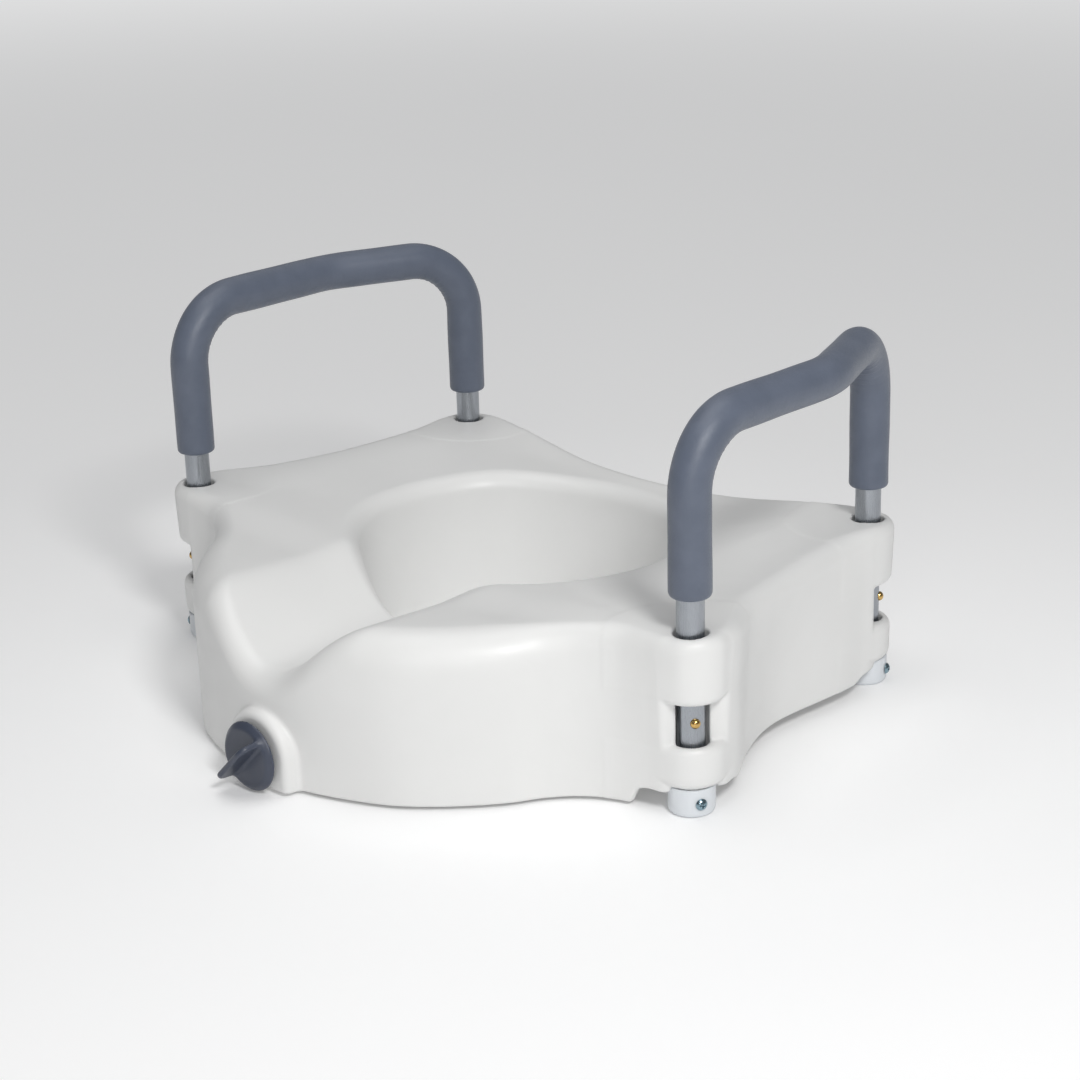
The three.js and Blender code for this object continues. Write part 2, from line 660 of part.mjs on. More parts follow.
function put(name, geometry, material) {
  const mesh = new THREE.Mesh(geometry, material);
  mesh.name = name;
  seat.add(mesh);
}

put('seat_shell', seatShell(), whitePlastic());
for (const side of [-1, 1]) {
  const hand = side < 0 ? 'left' : 'right';
  put(`${hand}_arm_tube`, armTube(side), aluminium());
  put(`${hand}_foam_grip`, foamGrip(side), foam());
}
for (const leg of LEGS) {
  put(`${leg.name}_snap_button`, snapButton(leg), brass());
  put(`${leg.name}_button_spring`, buttonSpring(leg), springSteel());
  put(`${leg.name}_socket_cap`, socketCap(leg), capPlastic());
  put(`${leg.name}_cap_screw`, capScrew(leg), zinc());
}
put('clamp_knob', clampKnob(), knobPlastic());
put('worm_screw', wormScrew(), zinc());
put('screw_retainer', retainer(), springSteel());
put('clamp_plate', clampPlate(), whitePlastic());
put('clamp_nut', clampNut(), zinc());

// Middle of the overall box to the origin, base at z = 0.
const whole = new THREE.Box3().setFromObject(seat);
const middle = whole.getCenter(new THREE.Vector3());
for (const mesh of seat.children) mesh.geometry.translate(0, -middle.y, 0);

export default seat;
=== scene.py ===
"""Raised toilet seat: finished surfaces, materials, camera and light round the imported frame."""
import math
from itertools import product

import bmesh
import bpy
import numpy as np
from mathutils import Matrix, Vector


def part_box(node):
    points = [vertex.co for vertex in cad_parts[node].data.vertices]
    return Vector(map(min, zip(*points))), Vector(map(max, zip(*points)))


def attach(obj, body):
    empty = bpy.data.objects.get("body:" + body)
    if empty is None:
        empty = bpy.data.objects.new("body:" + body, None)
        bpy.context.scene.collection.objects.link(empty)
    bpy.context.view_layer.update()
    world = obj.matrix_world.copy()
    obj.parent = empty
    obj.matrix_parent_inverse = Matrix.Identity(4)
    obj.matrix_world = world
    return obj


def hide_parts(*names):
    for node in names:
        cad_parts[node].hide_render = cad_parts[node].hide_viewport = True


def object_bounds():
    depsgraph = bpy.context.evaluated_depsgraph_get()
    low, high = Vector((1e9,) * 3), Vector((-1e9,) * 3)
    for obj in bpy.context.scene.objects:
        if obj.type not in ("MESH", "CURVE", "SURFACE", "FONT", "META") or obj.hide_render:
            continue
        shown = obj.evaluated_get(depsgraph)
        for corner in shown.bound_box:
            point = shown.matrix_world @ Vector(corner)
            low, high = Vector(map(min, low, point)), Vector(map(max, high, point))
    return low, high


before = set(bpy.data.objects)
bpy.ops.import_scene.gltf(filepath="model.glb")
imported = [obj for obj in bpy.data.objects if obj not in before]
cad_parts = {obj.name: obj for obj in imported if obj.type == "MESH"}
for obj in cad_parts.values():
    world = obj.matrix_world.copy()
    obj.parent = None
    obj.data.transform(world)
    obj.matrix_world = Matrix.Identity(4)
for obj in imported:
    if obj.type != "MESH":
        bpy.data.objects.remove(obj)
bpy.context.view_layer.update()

# ---- dimensions, millimetres; plan y counts from the middle between the legs ------------------
TUBE_R, TUBE_BORE_R = 9.5, 8.0
LEG = {"front": (252.0, -128.0), "rear": (207.5, 128.0)}
ARM_TOP_Z, ARM_BEND_R = 268.5, 47.0
KINK, KINK_R = (252.0, 18.0), 80.0
LEG_FOOT_Z = 17.0
GRIP_R, GRIP_END_Z = 14.5, 153.5
DECK_Z = 128.5
SKIRT_T, SKIRT_Z, SIDE_EDGE_Z, COLUMN_Z = 6.0, 2.5, 10.5, 16.0
STEP_Z, STEP_OUT = 20.5, 6.0                              # higher underside outboard of each leg
RIM_PLANE_Z, COLLAR_Z, COLLAR_T = 31.0, 3.0, 4.5
OPENING_Y = -27.0
THROAT = (109.0, 105.0)
MOUTH = (130.0, 123.0)                                    # the opening at deck height
WALL_LEAN = (0.139, 0.1136)
TROUGH_LEAN = 0.203
ROLL_R, TROUGH_ROLL_R = 13.0, 6.0
NOSE_DROP, BACK_DIP, BACK_DIP_HALF = 4.0, 11.0, 135.0
DISH, DISH_AT_BACK = 7.0, 2.0                             # fall of the deck towards the opening
TROUGH_FLAT, TROUGH_HALF, TROUGH_Z = 3.0, 78.0, 80.5
CORNER_R, CORNER_IN, CORNER_NEAR = 27.0, 7.5, 38.0
COLUMN_IN = 2.8                                           # column's skin inside the corner's outline
SOCKET_R = 12.0
FACING = {"front": 57.0, "rear": 130.0}
SCREW_FACING = {"front": 63.0, "rear": 110.0}
WINDOW_LOW, WINDOW_HIGH, WINDOW_PLANE = 50.5, 80.5, 4.0
BUTTON_Z, BUTTON_R, BUTTON_REACH = 66.5, 3.5, 12.8
CAP_R, CAP_FLOOR, CAP_TOP, CAP_PLUG_TOP, CAP_GROOVE = 16.2, 3.0, 20.2, 16.2, 13.9
NECK_R = 13.6
SCREW_Z, SCREW_R, SCREW_HEAD_R, SCREW_HEAD_H = 10.5, 1.75, 4.4, 2.4
KNOB_Y, KNOB_Z, KNOB_R, KNOB_T, KNOB_BEVEL = -298.6, 25.6, 25.5, 5.0, 4.2
HUB_R, KNOB_SOCKET = 10.0, 3.3
WING, WING_ROOT, WING_TIP, WING_T, WING_TURN = 16.0, 22.5, 20.5, 5.0, 45.0
BOSS_R, BOSS_FRONT, BOSS_BACK, BORE_BACK = 31.5, -294.0, -277.0, -240.0
BAY_HALF, BAY_FRONT, BAY_BACK, BAY_TOP = 36.0, -276.0, -158.0, 53.0
SURROUND_T, SURROUND_BELOW, SURROUND_ABOVE = 3.6, 4.0, 8.0
LUG_AT, LUG_HALF, LUG_Z, LUG_HALF_T = (42.0, 78.0), (18.0, 16.0), 3.25, 2.25
VENT_AT, VENT_R, VENT_DEPTH = (155.0, -30.0), 6.0, 12.0
WORM_R, WORM_CREST, WORM_PITCH, WORM_END = 4.0, 5.0, 6.0, -196.0
PLATE_Y, PLATE_T, PLATE_HALF, PLATE_TOP, PLATE_FOOT = -236.0, 9.0, 30.0, 47.0, 1.0
PLATE_LIP, PLATE_LIP_T, PLATE_RIB_X, PLATE_RIB_T = 10.0, 4.0, 18.0, 4.0
NUT_HALF, NUT_DEPTH = 8.6, 6.3
GAP = 0.3
MM = 0.001
SHIFT_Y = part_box("seat_shell")[0][1] / MM - BOSS_FRONT     # from the plan's middle to the frame's
GRID = 1.6                          # sampling of the seat's surface


# ---- small maths ------------------------------------------------------------------------------
def smooth(low, high, v):
    t = np.clip((v - low) / (high - low), 0.0, 1.0)
    return t * t * (3 - 2 * t)


def mix(a, b, t):
    return a + (b - a) * t


def bump(v, middle, width):
    return np.exp(-(((v - middle) / width) ** 2))


def both(a, b, r):
    """Inside a and b, with the edge between them rounded to radius r."""
    return np.minimum(np.maximum(a, b), -r) + np.hypot(np.maximum(a + r, 0), np.maximum(b + r, 0))


def either(a, b, r):
    """Inside a or b, with a fillet of radius r between them."""
    return np.maximum(np.minimum(a, b), r) - np.hypot(np.maximum(r - a, 0), np.maximum(r - b, 0))


# ---- surfaces from sampled fields -------------------------------------------------------------
CORNERS = list(product((0, 1), repeat=3))
EDGES = [(a, b) for a in range(8) for b in range(a + 1, 8)
         if sum(abs(p - q) for p, q in zip(CORNERS[a], CORNERS[b])) == 1]


def sample(field, p):
    """Trilinear value of the field at points in grid units."""
    top = np.array(field.shape) - 2
    base = np.clip(np.floor(p).astype(int), 0, top)
    t = p - base
    value = np.zeros(len(p))
    for i, j, k in CORNERS:
        weight = ((t[:, 0] if i else 1 - t[:, 0]) * (t[:, 1] if j else 1 - t[:, 1])
                  * (t[:, 2] if k else 1 - t[:, 2]))
        value += weight * field[base[:, 0] + i, base[:, 1] + j, base[:, 2] + k]
    return value


def slope(field, p, reach=0.5):
    g = np.empty_like(p)
    for axis in range(3):
        d = np.zeros(3)
        d[axis] = reach
        g[:, axis] = (sample(field, p + d) - sample(field, p - d)) / (2 * reach)
    return g


def settle(field, p, rounds=2):
    """Pulls points onto the zero level of the field."""
    for _ in range(rounds):
        g = slope(field, p)
        p = p - np.clip(sample(field, p) / np.maximum((g * g).sum(1), 1e-6), -1, 1)[:, None] * g
    return p


def net(field):
    """The zero level as a point in each crossed cell and a quad on each crossed edge."""
    inside = field < 0
    nx, ny, nz = field.shape
    count = np.zeros((nx - 1, ny - 1, nz - 1), np.uint8)
    for i, j, k in CORNERS:
        count += inside[i:nx - 1 + i, j:ny - 1 + j, k:nz - 1 + k]
    active = (count > 0) & (count < 8)
    cells = np.argwhere(active)
    number = np.full(active.shape, -1, np.int64)
    number[active] = np.arange(len(cells))
    values = np.stack([field[cells[:, 0] + i, cells[:, 1] + j, cells[:, 2] + k]
                       for i, j, k in CORNERS], 1)
    total, hits = np.zeros((len(cells), 3)), np.zeros(len(cells))
    for a, b in EDGES:
        crossed = (values[:, a] < 0) != (values[:, b] < 0)
        va, vb = values[crossed, a], values[crossed, b]
        pa, pb = np.array(CORNERS[a], float), np.array(CORNERS[b], float)
        total[crossed] += pa + (va / (va - vb))[:, None] * (pb - pa)
        hits[crossed] += 1
    points = cells + total / hits[:, None]
    quads = []
    for axis in range(3):
        u, v = (axis + 1) % 3, (axis + 2) % 3
        low = [slice(None)] * 3
        high = [slice(None)] * 3
        low[axis], high[axis] = slice(0, -1), slice(1, None)
        a, b = inside[tuple(low)], inside[tuple(high)]
        at = np.argwhere(a != b)
        size = np.array(active.shape)
        at = at[(at[:, u] > 0) & (at[:, v] > 0) & (at[:, u] < size[u]) & (at[:, v] < size[v])]
        ring = []
        for du, dv in ((-1, -1), (0, -1), (0, 0), (-1, 0)):
            cell = at.copy()
            cell[:, u] += du
            cell[:, v] += dv
            ring.append(number[cell[:, 0], cell[:, 1], cell[:, 2]])
        ring = np.stack(ring, 1)
        leaving = a[at[:, 0], at[:, 1], at[:, 2]]
        ring[~leaving] = ring[~leaving][:, ::-1]
        quads.append(ring)
    return points, np.concatenate(quads)


def from_field(name, field, low, step, faces=None):
    """A mesh object on the zero level of a field sampled from `low` at `step` millimetres."""
    points, quads = net(field)
    points = settle(field, points)
    piece = mesh_object(name, points * step + low, quads)
    if faces and 2 * len(quads) > faces:
        thin = piece.modifiers.new("thin", "DECIMATE")
        thin.ratio = faces / (2 * len(quads))
        freeze(piece)
    flat = np.empty(3 * len(piece.data.vertices), np.float32)
    piece.data.vertices.foreach_get("co", flat)
    grid = (flat.reshape(-1, 3) / MM - (0, SHIFT_Y, 0) - low) / step
    grid = settle(field, grid, 1)
    settled = ((grid * step + low) + (0, SHIFT_Y, 0)) * MM
    piece.data.vertices.foreach_set("co", settled.astype(np.float32).ravel())
    normal = slope(field, grid, 0.8)
    normal /= np.maximum(np.linalg.norm(normal, axis=1), 1e-6)[:, None]
    piece.data.shade_smooth()
    piece.data.normals_split_custom_set_from_vertices([tuple(n) for n in normal])
    piece.data.update()
    return piece


def mesh_object(name, points, faces):
    """A mesh object from points in plan millimetres."""
    mesh = bpy.data.meshes.new(name)
    at = (np.asarray(points, float) + (0, SHIFT_Y, 0)) * MM
    mesh.from_pydata([tuple(p) for p in at], [], [tuple(int(i) for i in f) for f in faces])
    mesh.validate()
    mesh.shade_smooth()
    piece = bpy.data.objects.new(name, mesh)
    bpy.context.scene.collection.objects.link(piece)
    return piece


def freeze(piece):
    """Applies the piece's modifiers."""
    seen = bpy.context.evaluated_depsgraph_get()
    mesh = bpy.data.meshes.new_from_object(piece.evaluated_get(seen))
    piece.modifiers.clear()
    piece.data = mesh


# ---- seat body --------------------------------------------------------------------------------
def corner_arc(end, degrees):
    x, y = LEG[end]
    cx = x - CORNER_IN / math.sqrt(2)
    cy = y - math.copysign(CORNER_IN / math.sqrt(2), y)
    return [(cx + CORNER_R * math.cos(math.radians(d)), cy + CORNER_R * math.sin(math.radians(d)))
            for d in degrees]


def half_outline():
    """Right half of the plan outline, from the nose to the middle of the back."""
    return [
        (0, -286), (34, -283), (66, -274), (101, -258.5), (131, -234.5), (156, -207),
        (172, -182), (188, -166), (208, -155), (230, -151),
        *corner_arc("front", (-90, -60, -30, 0, 25)),
        (266, -94), (250, -60), (240, -20), (233.5, 20), (229, 60), (228, 95),
        *corner_arc("rear", (0, 30, 60, 90)),
        (180, 149), (150, 147), (110, 141), (70, 134.5), (35, 130.5), (0, 129),
    ]


def through(points, per_span):
    """Closed centripetal Catmull-Rom curve through plan points."""
    p = np.array(points, float)
    out = []
    for i in range(len(p)):
        p0, p1, p2, p3 = (p[(i + k) % len(p)] for k in (-1, 0, 1, 2))
        k0, k1, k2 = (max(np.linalg.norm(b - a) ** 0.5, 1e-4) for a, b in ((p0, p1), (p1, p2), (p2, p3)))
        m1 = ((p1 - p0) / k0 - (p2 - p0) / (k0 + k1) + (p2 - p1) / k1) * k1
        m2 = ((p2 - p1) / k1 - (p3 - p1) / (k1 + k2) + (p3 - p2) / k2) * k1
        for s in np.arange(per_span) / per_span:
            out.append((2 * s**3 - 3 * s**2 + 1) * p1 + (s**3 - 2 * s**2 + s) * m1
                       + (3 * s**2 - 2 * s**3) * p2 + (s**3 - s**2) * m2)
    return np.array(out)


def outline_distance(x, y):
    """Distance from plan points to the seat's outline, negative inside."""
    half = half_outline()
    line = through(half + [(-a, b) for a, b in half[-2:0:-1]], 12)
    a, b = line, np.roll(line, -1, 0)
    keep = (a[:, 0] > -20) & (b[:, 0] > -20)
    px, py = x.ravel(), y.ravel()
    best = np.full(px.shape, 1e9)
    for (ax, ay), (bx, by) in zip(a[keep], b[keep]):
        ex, ey = bx - ax, by - ay
        t = np.clip(((px - ax) * ex + (py - ay) * ey) / max(ex * ex + ey * ey, 1e-9), 0, 1)
        best = np.minimum(best, np.hypot(px - ax - t * ex, py - ay - t * ey))
    around = np.arctan2(line[:, 0], OPENING_Y - line[:, 1])
    reach = np.hypot(line[:, 0], line[:, 1] - OPENING_Y)
    order = np.argsort(around)
    limit = np.interp(np.arctan2(px, OPENING_Y - py), around[order], reach[order])
    inside = np.hypot(px, py - OPENING_Y) < limit
    return np.where(inside, -best, best).reshape(x.shape)


def near_leg(x, y):
    """1 at a leg's axis, falling to 0 about a corner's width away."""
    away = (np.hypot(x - lx, y - ly) / CORNER_NEAR for lx, ly in LEG.values())
    return np.maximum(*(np.exp(-(d ** 4)) for d in away))


def blur(plane, width):
    """Gaussian blur of a plan array, width in samples."""
    reach = int(3 * width) + 1
    kernel = np.exp(-0.5 * (np.arange(-reach, reach + 1) / width) ** 2)
    kernel /= kernel.sum()
    for axis in (0, 1):
        pad = [(0, 0), (0, 0)]
        pad[axis] = (reach, reach)
        mode = "reflect" if axis == 0 else "edge"
        wide = np.pad(plane, pad, mode=mode)
        plane = sum(k * np.take(wide, np.arange(i, i + plane.shape[axis]), axis=axis)
                    for i, k in enumerate(kernel))
    return plane


def ellipse_distance(x, y, a, b):
    """Distance outside an ellipse centred on the opening."""
    y = y - OPENING_Y
    k0 = np.hypot(x / a, y / b)
    k1 = np.maximum(np.hypot(x / a**2, y / b**2), 1e-6)
    return k0 * (k0 - 1) / k1


def shoulder(x, y):
    """Radius of the deck's outer edge: tight at the legs, full beside the trough."""
    return 13 - 6 * near_leg(x, y) + (4 + 9 * smooth(40, 90, x)) * smooth(150, 200, -y)


def deck_height(x, y, outline):
    """Height of the deck and trough at plan points, and the trough's share of it."""
    crest = (DECK_Z - NOSE_DROP * smooth(128, 180, -y) - smooth(60, 128, 128 - np.abs(y))
             - BACK_DIP * smooth(40, 110, y) * np.exp(-(x / BACK_DIP_HALF) ** 4))
    from_edge = np.maximum(-outline - shoulder(x, y), 0)
    from_hole = np.maximum(ellipse_distance(x, y, *MOUTH) - ROLL_R / 2, 0)
    across = from_edge / np.maximum(from_edge + from_hole, 1e-6)
    fall = DISH - (DISH - DISH_AT_BACK) * smooth(40, 110, y)
    deck = crest - fall * across
    share = blur(np.where(y > OPENING_Y, 0.0, 1 - smooth(TROUGH_FLAT, TROUGH_HALF, x)), 4 / GRID)
    return mix(blur(deck, 5 / GRID), TROUGH_Z, share), share


def plane(v):
    """A plan array as one layer of the sampled volume."""
    return v[:, :, None].astype(np.float32)


def moulded_body(x, y, z, outline, near):
    """Deck, opening, trough and skirt, hollowed below to drop over the bowl."""
    deck, share = deck_height(x, y, outline)
    gx, gy = np.gradient(deck, GRID)
    steep = np.sqrt(1 + np.clip(gx**2 + gy**2, 0, 4))

    skirt_end = smooth(216, 224, x + np.maximum(0, y + 140) * 2)
    edge = mix(mix(SKIRT_Z, SIDE_EDGE_Z + 3, skirt_end), SIDE_EDGE_Z, smooth(-105, -60, y))
    edge = mix(edge, COLUMN_Z, smooth(0.25, 0.8, near))
    base_gap = ellipse_distance(x, y, *THROAT)
    edge = np.where(base_gap < 20, COLLAR_Z, edge)
    draft = (0.5 + np.where(x > 190, 13 * bump(y, -8, 58), 0) + 2.2 * near
             + 3 * smooth(60, 128, y) * (1 - near))

    rise = np.clip((z - plane(edge)) / (plane(deck) - 13 - plane(edge)), 0, 1)
    outer = plane(outline) + plane(draft) * (1 - 0.4 * rise - 0.6 * rise**2)
    top = (z - plane(deck)) / plane(steep)
    lean_y = mix(WALL_LEAN[1], TROUGH_LEAN, share)
    a = THROAT[0] + WALL_LEAN[0] * (z - COLLAR_Z)
    b = THROAT[1] + plane(lean_y) * (z - COLLAR_Z)
    hole = -ellipse_distance(plane(x), plane(y), a, b)

    body = both(outer, top, plane(shoulder(x, y)))
    body = both(body, hole, plane(mix(ROLL_R, TROUGH_ROLL_R, share)))
    body = both(body, plane(edge) - z, 2.2)

    wall = plane(outline + SKIRT_T + draft)
    collar = COLLAR_T - plane(base_gap) + 0.15 * (z - COLLAR_Z)
    recess = both(both(z - RIM_PLANE_Z, wall, 4.0), collar, 3.0)
    return both(body, -recess, 1.2), hole


def with_clamp_bay(body, x, y, z):
    """Adds the clamp bay with its moulded surround, and the boss round the knob with its bore."""
    bay = np.maximum(plane(x) - BAY_HALF, np.maximum(BAY_FRONT - plane(y), plane(y) - BAY_BACK))
    surround = np.maximum(bay - SURROUND_T, np.maximum(RIM_PLANE_Z - SURROUND_BELOW - z,
                                                       z - RIM_PLANE_Z - SURROUND_ABOVE))
    body = either(body, surround, 0.8)
    body = both(body, -np.maximum(bay, z - BAY_TOP), 1.2)
    arch = np.where(z < KNOB_Z, plane(x), np.hypot(plane(x), z - KNOB_Z)) - BOSS_R
    behind = np.maximum(SKIRT_Z - z, plane(y) - BOSS_BACK)
    boss = both(both(arch, BOSS_FRONT - plane(y), 6.0), behind, 2.2)
    body = either(body, boss, 3.0)
    bore = np.maximum(np.hypot(plane(x), z - KNOB_Z) - WORM_CREST - GAP, plane(y) - BORE_BACK)
    return both(body, -bore, 0.4)


def with_lugs_and_vents(body, hole, x, y, z):
    """Adds the moulded lugs at the back of the collar, and the vents through the rim plane."""
    lug = np.maximum(np.abs(plane(x) - LUG_AT[0]) - LUG_HALF[0],
                     np.abs(plane(y) - LUG_AT[1]) - LUG_HALF[1])
    lug = np.maximum(lug, np.abs(z - LUG_Z) - LUG_HALF_T)
    body = either(body, both(lug, hole, 1.0), 1.0)
    shaft = np.hypot(plane(x) - VENT_AT[0], plane(y) - VENT_AT[1]) - VENT_R
    return both(body, -np.maximum(shaft, z - RIM_PLANE_Z - VENT_DEPTH), 0.8)


def with_leg_column(body, end, x, y, z):
    """Adds a leg's column, its stepped underside, cap clearance, window and socket."""
    lx, ly = LEG[end]
    cx, cy = lx - CORNER_IN / math.sqrt(2), ly - math.copysign(CORNER_IN / math.sqrt(2), ly)
    column = both(np.hypot(plane(x) - cx, plane(y) - cy) - CORNER_R + COLUMN_IN, COLUMN_Z - z, 2.5)
    body = either(body, np.maximum(column, z - 60), 2.5)
    axis = np.hypot(plane(x) - lx, plane(y) - ly)
    facing = math.radians(FACING[end])
    out = (plane(x) - lx) * math.sin(facing) - (plane(y) - ly) * math.cos(facing)
    body = both(body, -np.maximum(STEP_OUT - out, z - STEP_Z), 7.5)
    body = both(body, -np.maximum(axis - CAP_R - GAP, z - CAP_TOP - GAP), 0.8)
    neck = np.maximum(axis - NECK_R, np.maximum(CAP_FLOOR + GAP - z, z - STEP_Z - 4))
    body = np.minimum(body, neck)
    behind = both(body, out - WINDOW_PLANE, 1.8)
    middle, half = (WINDOW_LOW + WINDOW_HIGH) / 2, (WINDOW_HIGH - WINDOW_LOW) / 2
    above_below = both(body, half - np.abs(z - middle), 6.0)
    body = np.where(axis < 60, either(behind, above_below, 1.0), body)
    return both(body, SOCKET_R - axis, 0.9)


def seat_field():
    """The seat body as a field sampled every GRID millimetres, and the place of its first sample."""
    xs = np.arange(0, 279, GRID)
    ys = np.arange(-298, 160, GRID)
    zs = np.arange(-1.0, 133, GRID)
    x, y = (v.astype(float) for v in np.meshgrid(xs, ys, indexing="ij"))
    z = zs[None, None, :].astype(np.float32)
    body, hole = moulded_body(x, y, z, outline_distance(x, y), near_leg(x, y))
    body = with_clamp_bay(body, x, y, z)
    body = with_lugs_and_vents(body, hole, x, y, z)
    for end in LEG:
        body = with_leg_column(body, end, x, y, z)
    field = body.astype(np.float32)
    field = np.concatenate([field[:0:-1], field])
    return field, np.array([-xs[-1], ys[0], zs[0]])


# ---- turned and swept pieces ------------------------------------------------------------------
def turned(profile, segments):
    """Points and faces of a surface of revolution about Z; the profile starts and ends on the axis."""
    points, faces = [(0, 0, profile[0][1])], []
    rings = profile[1:-1]
    angles = [2 * math.pi * k / segments for k in range(segments)]
    for r, z in rings:
        points += [(r * math.cos(a), r * math.sin(a), z) for a in angles]
    points.append((0, 0, profile[-1][1]))
    last = len(points) - 1
    for k in range(segments):
        n = (k + 1) % segments
        faces.append((0, 1 + n, 1 + k))
        for i in range(len(rings) - 1):
            a = 1 + i * segments
            faces.append((a + k, a + n, a + segments + n, a + segments + k))
        faces.append((last, last - segments + k, last - segments + n))
    return np.array(points, float), faces


def rounded(profile, radii, steps):
    """The profile with each inner corner eased by its own radius."""
    out = [profile[0]]
    for (p, c, n), r in zip(zip(profile, profile[1:], profile[2:]), radii):
        p, c, n = (np.array(v, float) for v in (p, c, n))
        u, w = (p - c), (n - c)
        lu, lw = np.linalg.norm(u), np.linalg.norm(w)
        cut = min(r, 0.49 * lu, 0.49 * lw)
        if cut < 1e-3:
            out.append(tuple(c))
            continue
        s, e = c + u / lu * cut, c + w / lw * cut
        for t in np.linspace(0, 1, steps):
            out.append(tuple((1 - t) ** 2 * s + 2 * t * (1 - t) * c + t * t * e))
    out.append(profile[-1])
    return out


def on_spoke(points, end, side, facing, z):
    """Stands points whose +Z is outwards on a leg's axis."""
    a = math.radians(facing) * side
    out = Vector((math.sin(a), -math.cos(a), 0))
    across = Vector((math.cos(a), math.sin(a), 0))
    turn = np.array([across, Vector((0, 0, 1)), out]).T
    return points @ turn.T + (LEG[end][0] * side, LEG[end][1], z)


def arm_path(side, foot, step):
    """Centreline of an arm from its front foot to its rear foot."""
    v = lambda x, y, z: np.array([x * side, y, z], float)
    (fx, fy), (rx, ry) = LEG["front"], LEG["rear"]
    corners = [v(fx, fy, foot), v(fx, fy, ARM_TOP_Z), v(*KINK, ARM_TOP_Z),
               v(rx, ry, ARM_TOP_Z), v(rx, ry, foot)]
    path, bend = [corners[0]], [0.0]
    for i, r in zip((1, 2, 3), (ARM_BEND_R, KINK_R, ARM_BEND_R)):
        back, ahead = corners[i - 1] - corners[i], corners[i + 1] - corners[i]
        back, ahead = back / np.linalg.norm(back), ahead / np.linalg.norm(ahead)
        half = math.acos(np.clip(back @ ahead, -1, 1)) / 2
        middle = (back + ahead) / np.linalg.norm(back + ahead)
        centre = corners[i] + middle * (r / math.sin(half))
        start, finish = (corners[i] + d * (r / math.tan(half)) - centre for d in (back, ahead))
        turn = math.pi - 2 * half
        count = max(3, round(r * turn / step))
        straight = max(1, round(np.linalg.norm(centre + start - path[-1]) / step))
        begin = path[-1]
        for k in range(1, straight):
            path.append(mix(begin, centre + start, k / straight))
            bend.append(0.0)
        for k in range(count + 1):
            t = k / count
            spoke = start * math.sin((1 - t) * turn) + finish * math.sin(t * turn)
            path.append(centre + spoke / math.sin(turn))
            bend.append(turn * math.sin(math.pi * t))
    begin = path[-1]
    straight = max(1, round(np.linalg.norm(corners[-1] - begin) / step))
    for k in range(1, straight + 1):
        path.append(mix(begin, corners[-1], k / straight))
        bend.append(0.0)
    return np.array(path), np.array(bend)


def swept(path, around, radius):
    """Rings round a path; radius(i, out) gives each point's distance from the centreline."""
    ahead = np.gradient(path, axis=0)
    ahead /= np.linalg.norm(ahead, axis=1)[:, None]
    side = np.array([1.0, 0, 0])
    rings = []
    for i, p in enumerate(path):
        side = side - ahead[i] * (side @ ahead[i])
        side /= np.linalg.norm(side)
        across = np.cross(ahead[i], side)
        turn = 2 * np.pi * np.arange(around) / around
        out = np.cos(turn)[:, None] * side + np.sin(turn)[:, None] * across
        rings.append(p + out * radius(i, out)[:, None])
    return np.array(rings)


def sleeve(name, outer, inner):
    """Closed skin over outer rings and back along inner rings."""
    rings = np.concatenate([outer, inner[::-1]])
    n, around = rings.shape[:2]
    i, j = np.meshgrid(np.arange(n), np.arange(around), indexing="ij")
    ni, nj = (i + 1) % n, (j + 1) % around
    at = lambda a, b: (a * around + b).ravel()
    quads = np.stack([at(i, j), at(i, nj), at(ni, nj), at(ni, j)], 1)
    return mesh_object(name, rings.reshape(-1, 3), quads)


def arm_tube(side, name):
    path, _ = arm_path(side, LEG_FOOT_Z, 4.0)
    keep = lambda r: lambda i, out: np.full(len(out), r)
    piece = sleeve(name, swept(path, 40, keep(TUBE_R)), swept(path, 40, keep(TUBE_BORE_R)))
    sharp_by_angle(piece)
    return piece


def foam_grip(side, name):
    path, bend = arm_path(side, GRIP_END_Z, 1.6)
    tips = np.array([0, 0.5, 1.2, 2.2, 3.5])
    path = np.concatenate([path[:1] + np.outer(tips, (0, 0, 1)), path[3:-3],
                           path[-1:] + np.outer(tips[::-1], (0, 0, 1))])
    bend = np.concatenate([np.zeros(5), bend[3:-3], np.zeros(5)])
    n = len(path)
    shrink = np.zeros(n)
    for k, s in enumerate((2.2, 1.1, 0.45, 0.1, 0)):
        shrink[k] = shrink[n - 1 - k] = s
    run = np.concatenate([[0], np.cumsum(np.linalg.norm(np.diff(path, axis=0), axis=1))])
    ahead = np.gradient(path, axis=0)
    ahead /= np.linalg.norm(ahead, axis=1)[:, None]
    curl = np.gradient(ahead, axis=0)
    curl_size = np.linalg.norm(curl, axis=1)
    inwards = curl / np.maximum(curl_size, 1e-9)[:, None]

    def radius(i, out):
        facing = np.clip(out @ inwards[i], 0, 1) if curl_size[i] > 1e-4 else np.zeros(len(out))
        ripple = 0.6 * math.sin(run[i] * 1.55) + 0.4 * math.sin(run[i] * 0.83 + 1)
        crease = 0.28 * bend[i] * facing**2 * ripple
        lumps = 0.12 * math.sin(run[i] * 0.051 + side) + 0.08 * math.sin(run[i] * 0.127)
        return GRIP_R - shrink[i] + crease * (1 - shrink[i] / 2.2) + lumps * (shrink[i] == 0)

    outer = swept(path, 56, radius)
    inner = swept(path, 56, lambda i, out: np.full(len(out), TUBE_R + GAP))
    return sleeve(name, outer, inner)


def sharp_by_angle(piece, degrees=40):
    """Marks edges sharper than an angle, so that smooth shading keeps them crisp."""
    bm = bmesh.new()
    bm.from_mesh(piece.data)
    bmesh.ops.recalc_face_normals(bm, faces=bm.faces)
    for e in bm.edges:
        if len(e.link_faces) == 2 and e.calc_face_angle(0) > math.radians(degrees):
            e.smooth = False
    bm.to_mesh(piece.data)
    bm.free()


